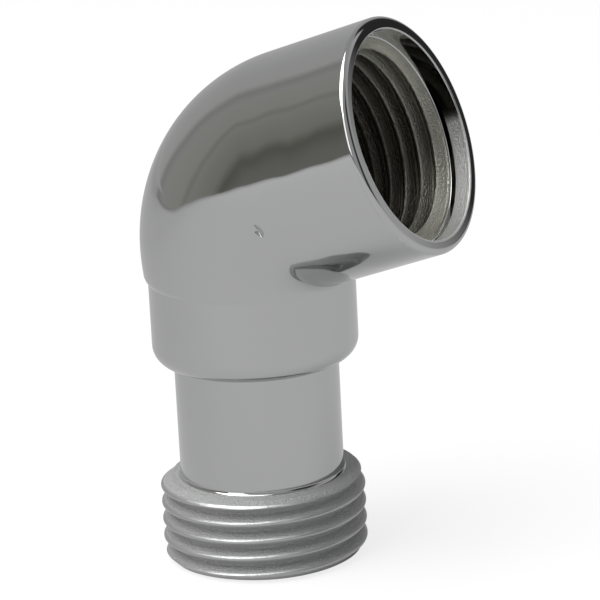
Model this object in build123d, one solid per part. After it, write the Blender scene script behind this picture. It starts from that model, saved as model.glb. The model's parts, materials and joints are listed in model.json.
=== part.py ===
from build123d import *
import os
from math import cos, radians, sin, tan

# Pipe thread of both ends, G 1/2: the crests of the outer one, the crests of the inner one
THREAD_MAJOR_D = 20.955
THREAD_MINOR_D = 18.631

# Outlet leg, turned about the Z axis, upwards from its seat at Z = 0
COLLAR_LENGTH = 8.6
COLLAR_LEAD_CHAMFER = 0.8
COLLAR_BACK_CHAMFER = 0.65
WAIST_D = 16.75
SHOULDER_Z = 20.65
SHOULDER_RADIUS = 2.0
NECK_D = 20.95
CROTCH_Z = 29.2

# Bend, a fan of rings hinged about a line just outside the crotch
BEND_ANGLE = 71.0
CROTCH_RADIUS = 0.35
LIP_ANGLE = 2.8
LIP_GROWTH = 0.15
BEND_STEPS = 6

# Inlet socket, straight on from the bend
SOCKET_D = 24.0
SOCKET_LENGTH = 12.5
RIM_OUTER_CHAMFER = 0.35
RIM_INNER_CHAMFER = 0.3
COUNTERBORE_D = 21.2
COUNTERBORE_DEPTH = 2.3
THREAD_ENTRY_D = 19.5
TAPPED_DEPTH = 12.3

# Waterway, drilled from both ends to the point where their axes cross
OUTLET_BORE_D = 12.7
OUTLET_EDGE_CHAMFER = 0.5
OUTLET_BORE_PAST_CROSSING = 1.0
INLET_BORE_D = 15.0
INLET_BORE_PAST_CROSSING = 1.5
DRILL_POINT_ANGLE = 118.0

NECK_R = NECK_D / 2
SOCKET_R = SOCKET_D / 2
HINGE_X = NECK_R + CROTCH_RADIUS
OVERCUT = 1.0


def ring_plane(angle, radius):
    """Plane of one ring of the bend: its centre, with its normal along the leg."""
    turn = radians(angle)
    reach = CROTCH_RADIUS + radius
    centre = (HINGE_X - reach * cos(turn), 0, CROTCH_Z + reach * sin(turn))
    return Plane(origin=centre, x_dir=(-cos(turn), 0, sin(turn)), z_dir=(sin(turn), 0, cos(turn)))


def ring_radius(angle):
    """Outer radius of the bend: a little over the neck's, swelling evenly into the socket's."""
    start = NECK_R + LIP_GROWTH
    return start + (SOCKET_R - start) * sin(radians(90 * angle / BEND_ANGLE))


def turned(*points):
    """Solid of revolution about Z from the corners of its half section, as (radius, height)."""
    return revolve(Plane.XZ * make_face(Polyline(*points, close=True)), Axis.Z)


def drill(diameter, start, depth):
    """Drill body up the Z axis from a start height, with its pointed end beyond the full depth."""
    radius = diameter / 2
    point = radius / tan(radians(DRILL_POINT_ANGLE / 2))
    return turned((0, start), (radius, start), (radius, depth), (0, depth + point))


def outlet_leg():
    """Threaded collar, waist and round-shouldered neck, one turned profile."""
    collar_r = THREAD_MAJOR_D / 2
    waist_r = WAIST_D / 2
    leg = turned(
        (0, 0),
        (collar_r - COLLAR_LEAD_CHAMFER, 0),
        (collar_r, COLLAR_LEAD_CHAMFER),
        (collar_r, COLLAR_LENGTH - COLLAR_BACK_CHAMFER),
        (collar_r - COLLAR_BACK_CHAMFER, COLLAR_LENGTH),
        (waist_r, COLLAR_LENGTH),
        (waist_r, SHOULDER_Z),
        (NECK_R, SHOULDER_Z),
        (NECK_R, CROTCH_Z),
        (0, CROTCH_Z),
    )
    at_shoulder = leg.edges().filter_by_position(Axis.Z, SHOULDER_Z, SHOULDER_Z)
    return fillet(at_shoulder.sort_by(SortBy.LENGTH)[-1], SHOULDER_RADIUS)


def bend():
    """Flared lip and swelling elbow, lofted through rings that pinch together at the crotch."""
    rings = []
    for step in range(BEND_STEPS + 1):
        angle = LIP_ANGLE + (BEND_ANGLE - LIP_ANGLE) * step / BEND_STEPS
        radius = ring_radius(angle)
        rings.append(ring_plane(angle, radius) * Circle(radius))
    neck_ring = ring_plane(0, NECK_R) * Circle(NECK_R)
    return loft([neck_ring, rings[0]], ruled=True) + loft(rings)


def socket_plane():
    """Plane of the socket's base, with its normal out of the mouth."""
    return ring_plane(BEND_ANGLE, SOCKET_R)


def socket():
    """Round socket with a counterbore, and a narrow flat rim with both its edges broken."""
    tube = extrude(Circle(SOCKET_R), SOCKET_LENGTH)
    ledge = Plane.XY.offset(SOCKET_LENGTH - COUNTERBORE_DEPTH)
    tube -= extrude(ledge * Circle(COUNTERBORE_D / 2), COUNTERBORE_DEPTH)
    outer_edge = tube.edges().group_by(Axis.Z)[-1].sort_by(SortBy.LENGTH)[-1]
    tube = chamfer(outer_edge, RIM_OUTER_CHAMFER)
    inner_edge = tube.edges().group_by(Axis.Z)[-1].sort_by(SortBy.LENGTH)[0]
    return socket_plane() * chamfer(inner_edge, RIM_INNER_CHAMFER)


def socket_hole():
    """Countersink and tapped hole, from the socket's base up to the counterbore's ledge."""
    tapped_r = THREAD_MINOR_D / 2
    entry_r = THREAD_ENTRY_D / 2
    bottom = SOCKET_LENGTH - TAPPED_DEPTH
    ledge = SOCKET_LENGTH - COUNTERBORE_DEPTH
    countersunk = ledge - (entry_r - tapped_r)
    hole = turned((0, bottom), (tapped_r, bottom), (tapped_r, countersunk), (entry_r, ledge), (0, ledge))
    return socket_plane() * hole


def waterway():
    """Outlet bore with a broken edge at the seat, and the inlet bore that meets it in the bend."""
    base = socket_plane()
    to_crossing = base.origin.X / base.z_dir.X
    crossing_z = base.origin.Z - to_crossing * base.z_dir.Z
    outlet = drill(OUTLET_BORE_D, -OVERCUT, crossing_z + OUTLET_BORE_PAST_CROSSING)
    edge_r = OUTLET_BORE_D / 2 + OUTLET_EDGE_CHAMFER
    outlet += turned((0, 0), (edge_r, 0), (0, edge_r))
    downwards = Plane(origin=base.origin, x_dir=base.x_dir, z_dir=-base.z_dir)
    inlet = downwards * drill(INLET_BORE_D, -OVERCUT, to_crossing + INLET_BORE_PAST_CROSSING)
    return outlet + inlet


os.makedirs("parts", exist_ok=True)
elbow_body = outlet_leg() + bend() + socket() - socket_hole() - waterway()
export_step(elbow_body, "parts/elbow_body.step")
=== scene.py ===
# %% [markdown]
# # A chromed wall outlet elbow
#
# This fitting stands out of a bathroom wall. A pipe screws into its wide socket, the water turns down
# through the bend, and a shower hose screws onto the threaded collar at the bottom. It is one piece of
# cast brass, drilled from both ends, polished and chromed. The frame gives the plain solid, and this
# lesson models the piece again with its threads, its soft edges and its mirror finish.

# %% Load the frame
import json
import math

import bmesh
import bpy
from mathutils import Matrix, Vector


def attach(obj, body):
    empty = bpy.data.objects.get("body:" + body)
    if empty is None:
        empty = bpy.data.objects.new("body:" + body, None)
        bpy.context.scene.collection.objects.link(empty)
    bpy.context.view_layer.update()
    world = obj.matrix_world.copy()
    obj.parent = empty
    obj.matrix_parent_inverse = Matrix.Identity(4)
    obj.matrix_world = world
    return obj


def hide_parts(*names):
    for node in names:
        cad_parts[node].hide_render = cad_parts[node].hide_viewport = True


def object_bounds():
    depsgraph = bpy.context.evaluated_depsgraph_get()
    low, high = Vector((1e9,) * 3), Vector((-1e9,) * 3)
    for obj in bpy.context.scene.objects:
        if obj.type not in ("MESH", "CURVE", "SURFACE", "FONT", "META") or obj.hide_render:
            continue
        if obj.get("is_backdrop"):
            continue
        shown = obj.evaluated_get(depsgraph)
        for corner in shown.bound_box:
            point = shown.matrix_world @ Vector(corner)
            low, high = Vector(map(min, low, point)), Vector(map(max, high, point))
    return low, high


MM = 0.001
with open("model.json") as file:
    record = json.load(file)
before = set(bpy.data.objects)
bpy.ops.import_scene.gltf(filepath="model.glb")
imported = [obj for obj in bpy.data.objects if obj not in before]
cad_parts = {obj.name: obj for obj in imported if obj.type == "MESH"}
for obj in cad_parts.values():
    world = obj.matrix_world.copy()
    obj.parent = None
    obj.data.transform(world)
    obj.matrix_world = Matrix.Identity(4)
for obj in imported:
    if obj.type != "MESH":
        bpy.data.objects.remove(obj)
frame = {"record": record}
cad_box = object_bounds()
mounts = {mount["name"]: mount for mount in frame["record"]["mounts"]}
print("CAD box in mm:", [[round(side / MM, 2) for side in corner] for corner in cad_box])

# %% [markdown]
# ## The camera
#
# The photograph was taken from a little above and to the socket's side, with a long lens. A long lens
# far away keeps the turned forms nearly parallel. The camera is placed by two angles round the point
# that it aims at, then rolled a little, because the elbow leans in the picture.

# %% Place the camera
AIM = Vector((4.63, 1.36, 26.64)) * MM
AZIMUTH = math.radians(27.83)
ELEVATION = math.radians(15.91)
ROLL = math.radians(-2.95)
DISTANCE = 330 * MM
VIEW_WIDTH = 60.43 * MM

towards_camera = Vector((
    math.sin(AZIMUTH) * math.cos(ELEVATION),
    -math.cos(AZIMUTH) * math.cos(ELEVATION),
    math.sin(ELEVATION),
))
camera = bpy.data.objects.new("camera", bpy.data.cameras.new("camera"))
bpy.context.scene.collection.objects.link(camera)
upright = towards_camera.to_track_quat("Z", "Y").to_matrix()
camera.matrix_world = (upright @ Matrix.Rotation(ROLL, 3, "Z")).to_4x4()
camera.location = AIM + towards_camera * DISTANCE
camera.data.angle = 2 * math.atan(VIEW_WIDTH / 2 / DISTANCE)
bpy.context.scene.camera = camera
print("camera lens in mm:", round(camera.data.lens, 1))

# %% [markdown]
# ## Rings
#
# Almost every surface here is round in section, so the mesh grows from rings. A ring is a matrix: the
# unit circle, scaled to its radius, leaned about the Y axis like the leg it belongs to, and moved to its
# centre. Extruding an edge loop and moving the new loop from one ring to the next makes a clean strip of
# quads, also round the bend, where a plain spin couldn't follow the swelling section.

# %% Ring tools
SEGMENTS = 192


def ring(radius, centre, lean=0.0):
    """Matrix that takes the unit circle to a ring."""
    scale = Matrix.Diagonal((radius, radius, radius, 1))
    return Matrix.Translation(centre) @ Matrix.Rotation(lean, 4, "Y") @ scale


def first_loop(bm, place):
    """A new loop of edges at a ring."""
    made = bmesh.ops.create_circle(bm, segments=SEGMENTS, radius=1, cap_ends=False, matrix=place)
    return list({edge for vert in made["verts"] for edge in vert.link_edges})


def grow(bm, loop, rings):
    """Extrudes a loop that lies at the first ring on to each later ring, and returns the last loop."""
    for before, after in zip(rings, rings[1:]):
        new = bmesh.ops.extrude_edge_only(bm, edges=loop)["geom"]
        verts = [item for item in new if isinstance(item, bmesh.types.BMVert)]
        bmesh.ops.transform(bm, matrix=after @ before.inverted(), verts=verts)
        loop = [item for item in new if isinstance(item, bmesh.types.BMEdge)]
    return loop


def arc(centre, radius, start, stop, steps):
    """Points on an arc of a half section, as (radius, height), between two angles in degrees."""
    turns = [math.radians(start + (stop - start) * step / steps) for step in range(steps + 1)]
    return [(centre[0] + radius * math.cos(t), centre[1] + radius * math.sin(t)) for t in turns]


# %% [markdown]
# ## The outlet leg
#
# Above the thread comes a slim waist, then a wider neck with a rounded shoulder. These were turned on a
# lathe, so they are a list of radii and heights up the Z axis. The corner where the waist meets the
# collar keeps a small fillet from the tool's nose.

# %% Waist, shoulder and neck
COLLAR_LENGTH = 8.6 * MM
WAIST_R = 8.375 * MM
WAIST_ROOT = 0.4 * MM
SHOULDER_Z = 20.65 * MM
SHOULDER_ROUND = 2.0 * MM
NECK_R = 10.475 * MM
CROTCH_Z = 29.2 * MM

root_centre = (WAIST_R + WAIST_ROOT, COLLAR_LENGTH + WAIST_ROOT)
shoulder_centre = (NECK_R - SHOULDER_ROUND, SHOULDER_Z + SHOULDER_ROUND)
leg_section = [
    *arc(root_centre, WAIST_ROOT, 270, 180, steps=5),
    (WAIST_R, SHOULDER_Z),
    *arc(shoulder_centre, SHOULDER_ROUND, 270, 360, steps=12),
    (NECK_R, CROTCH_Z),
]
leg_rings = [ring(radius, (0, 0, height)) for radius, height in leg_section]

shell = bmesh.new()
loop = first_loop(shell, leg_rings[0])
loop = grow(shell, loop, leg_rings)
print("leg rings:", len(leg_rings), "faces so far:", len(shell.faces))

# %% [markdown]
# ## The bend
#
# The bend is a fan: its rings all swing about one line just outside the crotch, where neck and socket
# meet in a sharp valley. On the way they swell from the neck's size to the socket's. The swell starts
# with a quick lip, which shows as a soft step at the back of the neck, and fades out along a sine so
# that the bend runs into the straight socket without a crease.

# %% Fan of rings
CROTCH_ROUND = 0.35 * MM
LIP_GROWTH = 0.15 * MM
LIP_ANGLE = math.radians(2.8)
LIP_STEPS = 5
FAN_STEPS = 44

socket_axis = Vector(mounts["socket_rim"]["axis"]).normalized()
socket_mouth = Vector(mounts["socket_rim"]["pos_m"])
BEND_ANGLE = math.acos(socket_axis.z)
SOCKET_R = (cad_box[1].y - cad_box[0].y) / 2
hinge = Vector((NECK_R + CROTCH_ROUND, 0, CROTCH_Z))


def swell(angle):
    """Radius of the bend at an angle past the lip."""
    start = NECK_R + LIP_GROWTH
    return start + (SOCKET_R - start) * math.sin(math.pi / 2 * angle / BEND_ANGLE)


def fan_ring(angle, radius):
    """Ring of the bend, touching the small round of the crotch."""
    outwards = Vector((-math.cos(angle), 0, math.sin(angle)))
    return ring(radius, hinge + outwards * (CROTCH_ROUND + radius), angle)


fan_rings = []
for step in range(LIP_STEPS):
    share = step / LIP_STEPS
    lip = (swell(LIP_ANGLE) - NECK_R) * math.sin(math.pi / 2 * share)
    fan_rings.append(fan_ring(LIP_ANGLE * share, NECK_R + lip))
for step in range(FAN_STEPS + 1):
    angle = LIP_ANGLE + (BEND_ANGLE - LIP_ANGLE) * step / FAN_STEPS
    fan_rings.append(fan_ring(angle, swell(angle)))
loop = grow(shell, loop, fan_rings)
print("bend of", round(math.degrees(BEND_ANGLE), 1), "degrees in", len(fan_rings), "rings")

# %% [markdown]
# ## The socket
#
# The socket runs straight on from the bend. Its mouth has a thin flat rim, rounded on both sides, and a
# plain counterbore, cut square down to a ledge where the inner thread starts. Its section is written as
# radius and depth, measured back from the rim. Two holding rings close to the rounds keep the shading of
# the rim truly flat.

# %% Socket, rim and counterbore
RIM_OUTER_ROUND = 0.55 * MM
RIM_INNER_ROUND = 0.15 * MM
COUNTERBORE_R = 10.6 * MM
COUNTERBORE_DEPTH = 2.3 * MM
LEDGE_CORNER = 0.15 * MM
HOLD = 0.03 * MM


def socket_ring(radius, depth):
    """Ring of the socket at a depth behind its rim."""
    return ring(radius, socket_mouth - socket_axis * depth, BEND_ANGLE)


outer_centre = (SOCKET_R - RIM_OUTER_ROUND, RIM_OUTER_ROUND)
inner_centre = (COUNTERBORE_R + RIM_INNER_ROUND, RIM_INNER_ROUND)
corner_centre = (COUNTERBORE_R - LEDGE_CORNER, COUNTERBORE_DEPTH - LEDGE_CORNER)
rim_section = [
    *arc(outer_centre, RIM_OUTER_ROUND, 0, -90, steps=8),
    (SOCKET_R - RIM_OUTER_ROUND - HOLD, 0),
    (COUNTERBORE_R + RIM_INNER_ROUND + HOLD, 0),
    *arc(inner_centre, RIM_INNER_ROUND, 270, 180, steps=8),
    *arc(corner_centre, LEDGE_CORNER, 0, 90, steps=4),
]
rim_rings = [socket_ring(radius, depth) for radius, depth in rim_section]
loop = grow(shell, loop, [fan_rings[-1], *rim_rings])
print("socket mouth at", [round(value / MM, 2) for value in socket_mouth])

# %% [markdown]
# ## The threads
#
# Both ends have the same pipe thread: 14 turns to the inch, flanks at 55 degrees, round crests and round
# roots. A spin that climbs while it turns draws it: one pitch of the profile goes round and up, and
# the next turn is a copy that starts where this one ends, so merging the doubles closes the
# sleeve. Two cuts trim its spare turns. Inner and outer thread are the same surface seen from two sides.

# %% Thread sleeve
PITCH = 1.814 * MM
MAJOR_R = mounts["outlet_thread"]["dims"]["r_mm"] * MM
MINOR_R = mounts["inlet_socket"]["dims"]["r_mm"] * MM
CREST_ROUND = 0.137329 * PITCH
FLANK_TURN = 62.5
ROUND_STEPS = 3
SPARE_TURNS = 2
MERGE = 0.0005 * MM


def thread_profile():
    """One pitch of the thread from root to root, as (radius, height)."""
    crest = arc((MAJOR_R - CREST_ROUND, PITCH / 2), CREST_ROUND, -FLANK_TURN, FLANK_TURN, 2 * ROUND_STEPS)
    low_root = arc((MINOR_R + CREST_ROUND, 0), CREST_ROUND, 180, 180 - FLANK_TURN, ROUND_STEPS)
    high_root = arc((MINOR_R + CREST_ROUND, PITCH), CREST_ROUND, 180 + FLANK_TURN, 180, ROUND_STEPS)
    return low_root + crest + high_root


def thread_sleeve(length, phase):
    """Right-hand thread over a length of the Z axis, open at both ends, with a root at the phase's height."""
    bm = bmesh.new()
    start = phase - SPARE_TURNS * PITCH
    verts = [bm.verts.new((radius, 0, start + height)) for radius, height in thread_profile()]
    edges = [bm.edges.new(pair) for pair in zip(verts, verts[1:])]
    climb = (0, 0, PITCH / SEGMENTS)
    bmesh.ops.spin(bm, geom=verts + edges, cent=(0, 0, 0), axis=(0, 0, 1), dvec=climb,
                   angle=2 * math.pi, steps=SEGMENTS, use_merge=False)
    one_turn = bm.verts[:] + bm.edges[:] + bm.faces[:]
    for turn in range(1, math.ceil(length / PITCH) + SPARE_TURNS + 1):
        copy = bmesh.ops.duplicate(bm, geom=one_turn)["geom"]
        copied = [item for item in copy if isinstance(item, bmesh.types.BMVert)]
        bmesh.ops.translate(bm, vec=(0, 0, turn * PITCH), verts=copied)
    bmesh.ops.remove_doubles(bm, verts=bm.verts, dist=MERGE)
    for height, side in ((0, -1), (length, 1)):
        geom = bm.verts[:] + bm.edges[:] + bm.faces[:]
        bmesh.ops.bisect_plane(bm, geom=geom, dist=MERGE, plane_co=(0, 0, height),
                               plane_no=(0, 0, side), clear_outer=True)
    return bm


def limit_radius(bm, limit):
    """Moves each point in or out to the radius that limit gives for its own radius and height."""
    for vert in bm.verts:
        radius = math.hypot(vert.co.x, vert.co.y)
        vert.co.xy *= limit(radius, vert.co.z) / radius


def join(bm, piece, place):
    """Adds a finished bmesh to another one at a place, and frees it."""
    mesh = bpy.data.meshes.new("joined")
    bmesh.ops.transform(piece, matrix=place, verts=piece.verts)
    piece.to_mesh(mesh)
    piece.free()
    bm.from_mesh(mesh)
    bpy.data.meshes.remove(mesh)


def open_loop(bm, point, normal):
    """Open edges that lie in a plane."""
    def near(vert):
        return abs((vert.co - point).dot(normal)) < MERGE
    return [edge for edge in bm.edges if edge.is_boundary and all(near(vert) for vert in edge.verts)]


# %% [markdown]
# ### Outer thread
#
# The die cuts the collar's thread from end to end. A wide chamfer leads the hose nut on, and a small one
# breaks the collar's upper edge. Both are cones, so they only hold the crests back.

# %% Collar
LEAD_CHAMFER = 0.8 * MM
BACK_CHAMFER = 0.65 * MM
COLLAR_PHASE = 0.25 * MM


def collar_limit(radius, height):
    """Radius inside both chamfers of the collar."""
    lead = MAJOR_R - LEAD_CHAMFER + height
    back = MAJOR_R - BACK_CHAMFER + COLLAR_LENGTH - height
    return min(radius, lead, back)


collar = thread_sleeve(COLLAR_LENGTH, COLLAR_PHASE)
limit_radius(collar, collar_limit)
join(shell, collar, Matrix.Identity(4))
up = Vector((0, 0, 1))
bmesh.ops.triangle_fill(shell, use_beauty=True, edges=open_loop(shell, up * COLLAR_LENGTH, up))
bmesh.ops.contextual_create(shell, geom=open_loop(shell, Vector(), up))
print("collar turns:", round(COLLAR_LENGTH / PITCH, 1))

# %% [markdown]
# ### Inner thread
#
# The tap starts from the ledge, with a small countersink that takes the edge off its first turn. The
# hole's bottom is the flat end of the tap drill, with the narrower water bore going on from it.

# %% Tapped hole
TAPPED_DEPTH = 12.3 * MM
TAPPED_PHASE = 1.525 * MM
ENTRY_R = 9.75 * MM
INLET_BORE_R = 7.5 * MM
DRILL_POINT = math.radians(118) / 2
INLET_PAST_CROSSING = 1.5 * MM

thread_length = TAPPED_DEPTH - COUNTERBORE_DEPTH


def countersunk(radius, height):
    """Radius outside the countersink's cone, at a height above the thread's bottom."""
    return max(radius, ENTRY_R - (thread_length - height))


tapped = thread_sleeve(thread_length, TAPPED_PHASE)
limit_radius(tapped, countersunk)
join(shell, tapped, ring(1, socket_mouth - socket_axis * TAPPED_DEPTH, BEND_ANGLE))
ledge = socket_mouth - socket_axis * COUNTERBORE_DEPTH
bmesh.ops.triangle_fill(shell, use_beauty=True, edges=open_loop(shell, ledge, socket_axis))

crossing_depth = socket_mouth.x / socket_axis.x
bore_end = crossing_depth + INLET_PAST_CROSSING
point_depth = bore_end + INLET_BORE_R / math.tan(DRILL_POINT)
bore_rings = [
    socket_ring(INLET_BORE_R, TAPPED_DEPTH),
    socket_ring(INLET_BORE_R, bore_end),
    socket_ring(MERGE, point_depth),
]
loop = first_loop(shell, bore_rings[0])
hole_bottom = socket_mouth - socket_axis * TAPPED_DEPTH
bmesh.ops.triangle_fill(shell, use_beauty=True, edges=loop + open_loop(shell, hole_bottom, socket_axis))
loop = grow(shell, loop, bore_rings)
tip = {vert for edge in loop for vert in edge.verts}
bmesh.ops.pointmerge(shell, verts=list(tip), merge_co=socket_mouth - socket_axis * point_depth)
bmesh.ops.recalc_face_normals(shell, faces=shell.faces)
print("open edges left:", sum(not edge.is_manifold for edge in shell.edges))

# %% [markdown]
# ## The outlet bore
#
# The second drill comes up from the seat and breaks into the first bore. Two drilled holes meet in a
# curved line that no ring follows, so here a Boolean modifier does the drilling.

# %% Drill the outlet
OUTLET_BORE_R = 6.35 * MM
OUTLET_EDGE = 0.5 * MM
OUTLET_PAST_CROSSING = 1.0 * MM
OVERCUT = 1.0 * MM


def new_piece(name, bm):
    """Object with a bmesh's mesh, standing at the origin."""
    mesh = bpy.data.meshes.new(name)
    bm.to_mesh(mesh)
    bm.free()
    piece = bpy.data.objects.new(name, mesh)
    bpy.context.scene.collection.objects.link(piece)
    return piece


crossing_z = socket_mouth.z - crossing_depth * socket_axis.z
drill_end = crossing_z + OUTLET_PAST_CROSSING
drill_section = [
    (MERGE, -OVERCUT),
    (OUTLET_BORE_R + OUTLET_EDGE + OVERCUT, -OVERCUT),
    (OUTLET_BORE_R, OUTLET_EDGE),
    (OUTLET_BORE_R, drill_end),
    (MERGE, drill_end + OUTLET_BORE_R / math.tan(DRILL_POINT)),
]
drill_rings = [ring(radius, (0, 0, height)) for radius, height in drill_section]
drill = bmesh.new()
grow(drill, first_loop(drill, drill_rings[0]), drill_rings)
bmesh.ops.remove_doubles(drill, verts=drill.verts, dist=4 * MERGE)
bmesh.ops.recalc_face_normals(drill, faces=drill.faces)
drill_tool = new_piece("outlet_drill", drill)

elbow = new_piece("chrome_elbow", shell)
cut = elbow.modifiers.new("outlet_bore", "BOOLEAN")
cut.operation = "DIFFERENCE"
cut.solver = "EXACT"
cut.object = drill_tool
drilled = bpy.data.meshes.new_from_object(elbow.evaluated_get(bpy.context.evaluated_depsgraph_get()))
elbow.modifiers.clear()
elbow.data = drilled
bpy.data.objects.remove(drill_tool)
print("outlet drilled up to", round(drill_end / MM, 2), "mm, faces now:", len(drilled.polygons))

# %% [markdown]
# ## Smooth shading
#
# A polished surface gives away every facet, because the reflections break along it. Smooth shading bends
# the light evenly over the facets, and only edges sharper than 35 degrees stay crisp. Weighted normals
# let the large faces decide, so that the tubes don't darken towards their small rounds.

# %% Smooth the shading
SHARP = math.radians(35)
drilled.shade_smooth()
drilled.set_sharp_from_angle(angle=SHARP)
even = elbow.modifiers.new("even_normals", "WEIGHTED_NORMAL")
even.weight = 100
even.keep_sharp = True
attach(elbow, "root")
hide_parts("elbow_body")

check = bmesh.new()
check.from_mesh(drilled)
print("elbow: faces", len(check.faces), "triangles", len(check.calc_loop_triangles()),
      "open edges", sum(not edge.is_manifold for edge in check.edges),
      "volume in cm3", round(check.calc_volume() * 1e6, 2))
check.free()

# %% [markdown]
# ## Node tools
#
# Shader sums read best as Python. A Value wraps one output of a node, and Python's own operators on it
# add the Math nodes. Every other node comes from one method of Finish, which takes the node's type, its
# settings and what goes into its sockets. Three small helpers name what is needed often.

# %% Shader values
class Value:
    """Output of a shader node, with Python's operators for sums and comparisons."""

    def __init__(self, finish, socket):
        self.finish = finish
        self.socket = socket

    def calc(self, operation, *values):
        """Math node on the given values."""
        return self.finish.node("ShaderNodeMath", {"operation": operation}, dict(enumerate(values)))

    def __add__(self, other):
        return self.calc("ADD", self, other)

    def __sub__(self, other):
        return self.calc("SUBTRACT", self, other)

    def __rsub__(self, other):
        return self.calc("SUBTRACT", other, self)

    def __mul__(self, other):
        return self.calc("MULTIPLY", self, other)

    def __truediv__(self, other):
        return self.calc("DIVIDE", self, other)

    def __rtruediv__(self, other):
        return self.calc("DIVIDE", other, self)

    def __lt__(self, other):
        return self.calc("LESS_THAN", self, other)

    def __gt__(self, other):
        return self.calc("GREATER_THAN", self, other)

    __radd__ = __add__
    __rmul__ = __mul__


def set_stops(ramp, stops):
    """Stops of a colour ramp, as (position, colour)."""
    while len(ramp.elements) < len(stops):
        ramp.elements.new(1)
    for element, (position, colour) in zip(ramp.elements, stops):
        element.position = position
        element.color = colour


class Finish:
    """Node tree of a material or a world, cleared, with one method that adds a node to it."""

    def __init__(self, owner):
        owner.use_nodes = True
        self.tree = owner.node_tree
        self.tree.nodes.clear()

    def node(self, kind, settings=None, sockets=None, output=0):
        """New node: its settings first, then its sockets' values or links. Returns one of its outputs."""
        node = self.tree.nodes.new(kind)
        for name, value in (settings or {}).items():
            if name == "stops":
                set_stops(node.color_ramp, value)
            else:
                setattr(node, name, value)
        for name, value in (sockets or {}).items():
            if isinstance(value, Value):
                self.tree.links.new(value.socket, node.inputs[name])
            else:
                node.inputs[name].default_value = value
        return Value(self, node.outputs[output]) if node.outputs else None

    def part(self, vector, axis):
        """One coordinate of a vector."""
        return self.node("ShaderNodeSeparateXYZ", sockets={0: vector}, output=axis)

    def fade(self, value, start, stop):
        """Value that rises from 0 to 1 while another one goes from start to stop."""
        return self.node("ShaderNodeMapRange", sockets={"Value": value, "From Min": start, "From Max": stop})

    def blend(self, share, first, second):
        """Mix of two colours."""
        return self.node("ShaderNodeMix", {"data_type": "RGBA"}, {0: share, 6: first, 7: second}, 2)


# %% [markdown]
# ## Where the chrome was worked
#
# The outside is buffed to a mirror before it is chromed. The threaded collar and the tapped hole keep the
# marks of the cutting tools, and a pipe has left scuff marks on the lower side of the counterbore, where
# the colour also carries a painted highlight. Painted masks would need a UV map, but every border here is
# a radius or a height, so the masks are plain sums of Object coordinates. A Mapping node turns these into
# the socket's own frame.

# %% Masks for the worked surfaces
HOLE_R = 10.8 * MM
HOLE_DEPTH = 16 * MM
COLLAR_TOP = COLLAR_LENGTH + 0.05 * MM
BORE_TOP = 36 * MM
# Lower strip of the counterbore: scuff marks, and a painted highlight in the colour.
SCUFF_AND_LIGHT_DEPTH = 1.7 * MM
SCUFF_AND_LIGHT_SIDE = (-0.05, 0.1)

chrome = bpy.data.materials.new("chrome")
plate = Finish(chrome)


def round_axis(place):
    """Distance of a point from the Z axis, and its height along it."""
    flat = plate.node("ShaderNodeVectorMath", {"operation": "MULTIPLY"}, {0: place, 1: (1, 1, 0)})
    radius = plate.node("ShaderNodeVectorMath", {"operation": "LENGTH"}, {0: flat}, "Value")
    return radius, plate.part(place, "Z")


place = plate.node("ShaderNodeTexCoord", output="Object")
in_socket = plate.node("ShaderNodeMapping", {"vector_type": "TEXTURE"}, {
    "Vector": place, "Location": socket_mouth, "Rotation": (0, BEND_ANGLE, 0)})
leg_radius, leg_height = round_axis(place)
hole_radius, hole_height = round_axis(in_socket)
low_side = plate.part(in_socket, "X") / COUNTERBORE_R

on_collar = leg_height < COLLAR_TOP
on_crest = on_collar * (leg_radius > MAJOR_R - CREST_ROUND)
in_bore = (leg_radius < OUTLET_BORE_R + OUTLET_EDGE) * (leg_height < BORE_TOP)
in_hole = (hole_radius < HOLE_R) * (hole_height > -HOLE_DEPTH)
in_thread = in_hole * (hole_height < MERGE - COUNTERBORE_DEPTH)
# Lower side of the counterbore: scuff marks in bump and roughness, and a painted highlight in the colour.
scuff_and_painted_light = (in_hole - in_thread) * (hole_height > -SCUFF_AND_LIGHT_DEPTH) * plate.fade(low_side, *SCUFF_AND_LIGHT_SIDE)
at_rim = hole_height > -RIM_OUTER_ROUND
print("mask nodes:", len(plate.tree.nodes))

# %% [markdown]
# ## Tool marks, grain and a nick
#
# A turning tool leaves fine rings, a tap and a die leave torn grain, and buffing leaves the outside very
# slightly wavy. Only the crests of the outer thread are rubbed smooth. All this is far too fine to model,
# so noise drives a Bump node. Adding radius and height before the noise draws rings on walls and on flat
# ends alike. A small nick in the side of the bend is a stretched dimple at one point. The depths are in
# millimetres.

# %% Relief
RING_PITCH = 0.16 * MM
GRAIN = 0.22 * MM
WAVE = 6 * MM
RING_DEPTH = 0.04
GRAIN_DEPTH = 0.12
WAVE_DEPTH = 0.1
COLLAR_TEAR = 1.8
CREST_RUB = 1.5
SCUFF_TEAR = 0.5
NICK_DEPTH = 0.5
NICK_PLACE = Vector((7.27, -11.44, 37.33)) * MM
NICK_ALONG = Vector((0.34, 0.16, -0.60))
NICK_SIZE = Vector((0.74, 0.50, 0.42)) * MM


def cloud(size, detail):
    """Soft noise with blobs of a size."""
    return plate.node("ShaderNodeTexNoise", sockets={"Vector": place, "Scale": 1 / size, "Detail": detail})


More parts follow.
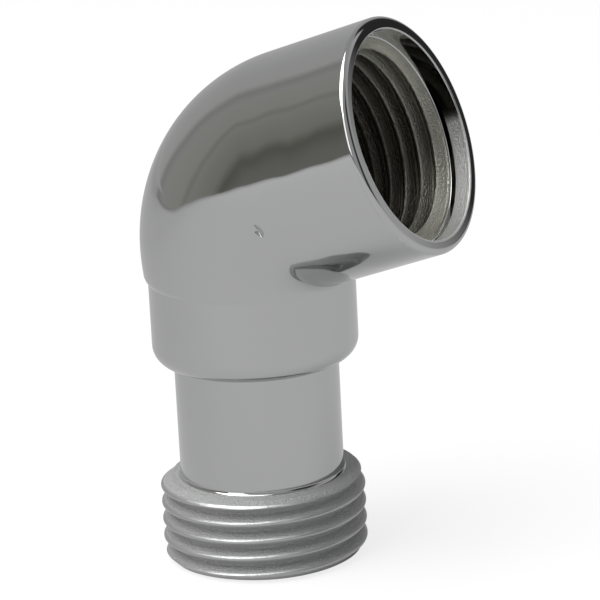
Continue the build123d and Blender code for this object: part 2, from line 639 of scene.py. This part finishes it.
along = on_collar * (leg_radius + leg_height) + in_hole * (hole_radius + hole_height)
rings = plate.node("ShaderNodeTexNoise", {"noise_dimensions": "1D"}, {"W": along / RING_PITCH, "Scale": 1})
nick_turn = NICK_ALONG.to_track_quat("X", "Z").to_euler()
nick_frame = plate.node("ShaderNodeMapping", {"vector_type": "TEXTURE"}, {
    "Vector": place, "Location": NICK_PLACE, "Rotation": nick_turn, "Scale": NICK_SIZE})
nick_far = plate.node("ShaderNodeVectorMath", {"operation": "LENGTH"}, {0: nick_frame}, "Value")
nick = nick_far.calc("MAXIMUM", 1 - nick_far, 0)
worked = COLLAR_TEAR * on_collar - CREST_RUB * on_crest + in_thread + SCUFF_TEAR * scuff_and_painted_light
tooled = worked * (RING_DEPTH * rings + GRAIN_DEPTH * cloud(GRAIN, detail=2))
buffed = (1 - on_collar) * (1 - in_hole) * (1 - at_rim) * WAVE_DEPTH * cloud(WAVE, detail=1)
relief = plate.node("ShaderNodeBump", sockets={
    "Height": tooled + buffed - NICK_DEPTH * nick, "Strength": 1, "Distance": MM}, output="Normal")
print("relief nodes:", len(plate.tree.nodes))

# %% [markdown]
# ## Chrome
#
# Chrome is a pure metal, so its base colour is its reflectance, a little over a half and almost neutral.
# What makes it read as chrome is the contrast of what it mirrors. Faint smudges vary the gloss outside,
# the rim is cleanest, and the worked surfaces are duller. In the tapped hole and the outlet bore the chrome
# is thinner and a little yellow, and its darker colour is painted shade. The colour darkens further towards
# the far end of the hole and into the thread's roots, painted shade of the deep recess. The counterbore's
# scuff-marked lower strip gets a bright colour, a painted highlight where the overhead lamp falls on it.

# %% Chrome plate
CHROME = (0.55, 0.556, 0.554, 1)
# Thinner chrome, a little yellow, and darker: painted shade inside the hole and the outlet bore.
THIN_CHROME_AND_SHADE = (0.46, 0.455, 0.40, 1)
# Painted shade for the far end of the hole and the thread's roots.
DEEP_SHADE_COLOUR = (0.11, 0.105, 0.085, 1)
# Painted highlight: the lower counterbore wall where the overhead lamp falls on it.
PAINTED_WALL_LIGHT = (0.85, 0.85, 0.84, 1)
SMUDGE = 11 * MM
CLEANEST = 0.01
POLISHED = 0.02
SMUDGED = 0.06
COLLAR_DULL = 0.72
CREST_SHINE = 0.34
THREAD_DULL = 0.27
BORE_DULL = 0.3
SCUFF_DULL = 0.5
# How fast the painted shade deepens towards the far end of the hole and into the roots.
FAR_SHADE = 1.2
ROOT_SHADE = 3

smudge = cloud(SMUDGE, detail=3)
dull = (COLLAR_DULL * on_collar - CREST_SHINE * on_crest + THREAD_DULL * in_thread
        + BORE_DULL * in_bore + SCUFF_DULL * scuff_and_painted_light)
roughness = CLEANEST + (1 - at_rim) * (POLISHED + SMUDGED * smudge) + dull
into_groove = (hole_radius - MINOR_R) / (MAJOR_R - MINOR_R)
into_hole = (-COUNTERBORE_DEPTH - hole_height) / thread_length
# Painted shade: the colour darkens towards the far end of the hole and into the thread's roots.
painted_deep_shade = in_thread * plate.fade(into_hole * (FAR_SHADE + ROOT_SHADE * into_groove), 0, 1)
# Where the chrome is thinner and the painted shade of the recess falls: tapped thread and outlet bore.
thin_plating_and_shade = in_thread.calc("MAXIMUM", in_thread, in_bore)
# Chrome, with the painted shade of the hole and bore and the painted highlight on the counterbore.
plating_with_painted_light = plate.blend(scuff_and_painted_light, plate.blend(thin_plating_and_shade, CHROME, THIN_CHROME_AND_SHADE), PAINTED_WALL_LIGHT)
colour = plate.blend(painted_deep_shade, plating_with_painted_light, DEEP_SHADE_COLOUR)
metal = plate.node("ShaderNodeBsdfPrincipled", sockets={
    "Base Color": colour, "Metallic": 1, "Roughness": roughness, "Normal": relief})
plate.node("ShaderNodeOutputMaterial", sockets={"Surface": metal})
drilled.materials.clear()
drilled.materials.append(chrome)
print("chrome nodes:", len(plate.tree.nodes))

# %% [markdown]
# ## The floor
#
# The elbow stands on a sheet of pale paper. In the mirror finish its near edge becomes the line under the
# dark band, so the sheet ends where that line needs it. It dims towards that edge, because the line is
# soft, and a little to the left, where the neck and the bend are greyer. The paper is lit like any other,
# and Light Path lifts it: to white where the camera sees it, and half of the way or less where the metal
# does. The lit part underneath keeps the shadow.

# %% Paper floor
FLOOR_U = (-0.94, 0.9)
FLOOR_V = (-0.46, 1.0)
FLOOR_TURN = math.radians(-30.413)
FLOOR_Z = -0.02 * MM
PAPER = (0.25, 0.25, 0.25, 1)
PAPER_GLOW = 0.78
LIFT_IN_METAL = 0.5
DIM_EDGE = 0.15
DIM_LEFT = (-0.14, 0.05)
LEFT_LEVEL = 0.73

sheet = bmesh.new()
bmesh.ops.create_grid(sheet, x_segments=1, y_segments=1, size=0.5)
spread = (Matrix.Rotation(FLOOR_TURN, 4, "Z")
          @ Matrix.Translation((sum(FLOOR_U) / 2, sum(FLOOR_V) / 2, FLOOR_Z))
          @ Matrix.Diagonal((FLOOR_U[1] - FLOOR_U[0], FLOOR_V[1] - FLOOR_V[0], 1, 1)))
bmesh.ops.transform(sheet, matrix=spread, verts=sheet.verts)
floor = new_piece("studio_floor", sheet)
floor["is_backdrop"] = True

white_paper = bpy.data.materials.new("white_paper")
paper = Finish(white_paper)
in_camera = paper.node("ShaderNodeLightPath", output="Is Camera Ray")
in_metal = paper.node("ShaderNodeLightPath", output="Is Glossy Ray")
lit = paper.node("ShaderNodeBsdfDiffuse", sockets={"Color": PAPER})
glow = paper.node("ShaderNodeEmission", sockets={"Strength": PAPER_GLOW})
lifted = paper.node("ShaderNodeAddShader", sockets={0: lit, 1: glow})
place = paper.node("ShaderNodeTexCoord", output="Object")
square = paper.node("ShaderNodeMapping", sockets={"Vector": place, "Rotation": (0, 0, -FLOOR_TURN)})
from_edge = paper.fade(paper.part(square, "Y"), FLOOR_V[0], FLOOR_V[0] + DIM_EDGE)
from_left = paper.fade(paper.part(square, "X"), *DIM_LEFT)
undimmed = from_edge * (LEFT_LEVEL + (1 - LEFT_LEVEL) * from_left)
lift = in_camera + LIFT_IN_METAL * in_metal * undimmed
surface = paper.node("ShaderNodeMixShader", sockets={0: lift, 1: lit, 2: lifted})
paper.node("ShaderNodeOutputMaterial", sockets={"Surface": surface})
floor.data.materials.append(white_paper)
print("floor in m:", round(FLOOR_U[1] - FLOOR_U[0], 2), "by", round(FLOOR_V[1] - FLOOR_V[0], 2))

# %% [markdown]
# ## The room
#
# A mirror is only as good as what it mirrors. The bend shows a pale wall at its back, then an olive wall
# with a streak or two, then a dark corner, each a band along the tube. These bands run by bearing, so a
# ramp over the compass paints them on the world, with a pale strip at their foot and a pale ceiling over
# them. Where the camera looks past the paper it sees white.

# %% Walls by bearing
def grey(level, warmth=1.0):
    """Grey with a little less blue than red."""
    return (level, level, level * warmth, 1)


WALLS = [
    (-180, grey(0.43)),
    (-140, grey(0.475)),
    (-124, grey(0.445)),
    (-104, grey(0.445, 0.98)),
    (-96, grey(0.295, 0.97)),
    (-88, grey(0.345, 0.95)),
    (-67, grey(0.325, 0.915)),
    (-62.5, grey(0.25, 0.905)),
    (-59, grey(0.29, 0.915)),
    (-44, grey(0.24, 0.90)),
    (-39, grey(0.125, 0.87)),
    (-33, grey(0.18, 0.90)),
    (-20, grey(0.18)),
    (20, grey(0.40)),
    (62, grey(0.40)),
    (75, grey(0.05)),
    (104, grey(0.05)),
    (116, grey(0.40)),
    (151.35, grey(0.52)),
    (151.85, grey(0.03)),
    (168, grey(0.04)),
    (180, grey(0.42)),
]
PALE_EDGE = [
    (-180, grey(0.0)),
    (-132, grey(0.035)),
    (-98, grey(0.02)),
    (-88, grey(0.0)),
]
PALE = grey(0.47)
CEILING = grey(0.4)
CEILING_RISE = (0.68, 0.78)
WHITE = grey(1)

studio_room = bpy.data.worlds.new("studio_room")
bpy.context.scene.world = studio_room
room = Finish(studio_room)
way = room.node("ShaderNodeTexCoord", output="Generated")
across = room.part(way, "X")
away = room.part(way, "Y")
rise = room.part(way, "Z")
bearing = across.calc("ARCTAN2", across, 0 - away)


def by_bearing(bands):
    """Colour ramp over the compass, from (bearing, colour)."""
    stops = [((azimuth + 180) / 360, colour) for azimuth, colour in bands]
    return room.node("ShaderNodeValToRGB", {"stops": stops}, {0: bearing / math.tau + 0.5})


foot = (rise < by_bearing(PALE_EDGE)) * (rise > 0)
walls = room.blend(foot, by_bearing(WALLS), PALE)
walls = room.blend(room.fade(rise, *CEILING_RISE), walls, CEILING)
in_camera = room.node("ShaderNodeLightPath", output="Is Camera Ray")
view = room.blend(in_camera, walls, WHITE)
light = room.node("ShaderNodeBackground", sockets={"Color": view})
room.node("ShaderNodeOutputWorld", sockets={"Surface": light})
print("wall bands:", len(WALLS) - 1)

# %% [markdown]
# ## The lamps
#
# Two soft boxes light the scene. The large one overhead lights the paper, and through the paper most of
# the chrome, and it draws the white line along the rim. The smaller one in front lights the thread. Each
# is given by its radiance, so its brightness in the mirror doesn't change with its size.

# %% Soft boxes
LAMP_DISTANCE = 0.9


def softbox(name, azimuth, elevation, width, height, radiance):
    """Area lamp that faces the elbow from a bearing and an elevation, both in degrees."""
    turn = math.radians(azimuth)
    rise = math.radians(elevation)
    away = Vector((math.sin(turn) * math.cos(rise), -math.cos(turn) * math.cos(rise), math.sin(rise)))
    lamp = bpy.data.lights.new(name, "AREA")
    lamp.shape = "RECTANGLE"
    lamp.size = width
    lamp.size_y = height
    lamp.energy = radiance * math.pi * width * height
    holder = bpy.data.objects.new(name, lamp)
    holder.matrix_world = away.to_track_quat("Z", "Y").to_matrix().to_4x4()
    holder.location = AIM + away * LAMP_DISTANCE
    bpy.context.scene.collection.objects.link(holder)
    print(name, "in W:", round(lamp.energy, 2))


softbox("overhead_softbox", azimuth=-30, elevation=65, width=0.65, height=0.95, radiance=3.8)
softbox("front_softbox", azimuth=-10, elevation=24, width=0.4, height=0.7, radiance=1.5)

# %% [markdown]
# ## Sizes and finish
#
# The visual model has to stay inside the CAD model's box, so both boxes are printed for comparison.

# %% Sizes and finish
bpy.context.scene.view_settings.view_transform = "Standard"
sizes = {"cad": cad_box, "visual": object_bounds()}
for name, (low, high) in sizes.items():
    print(name, "box in mm:", [round(side / MM, 3) for side in high - low])
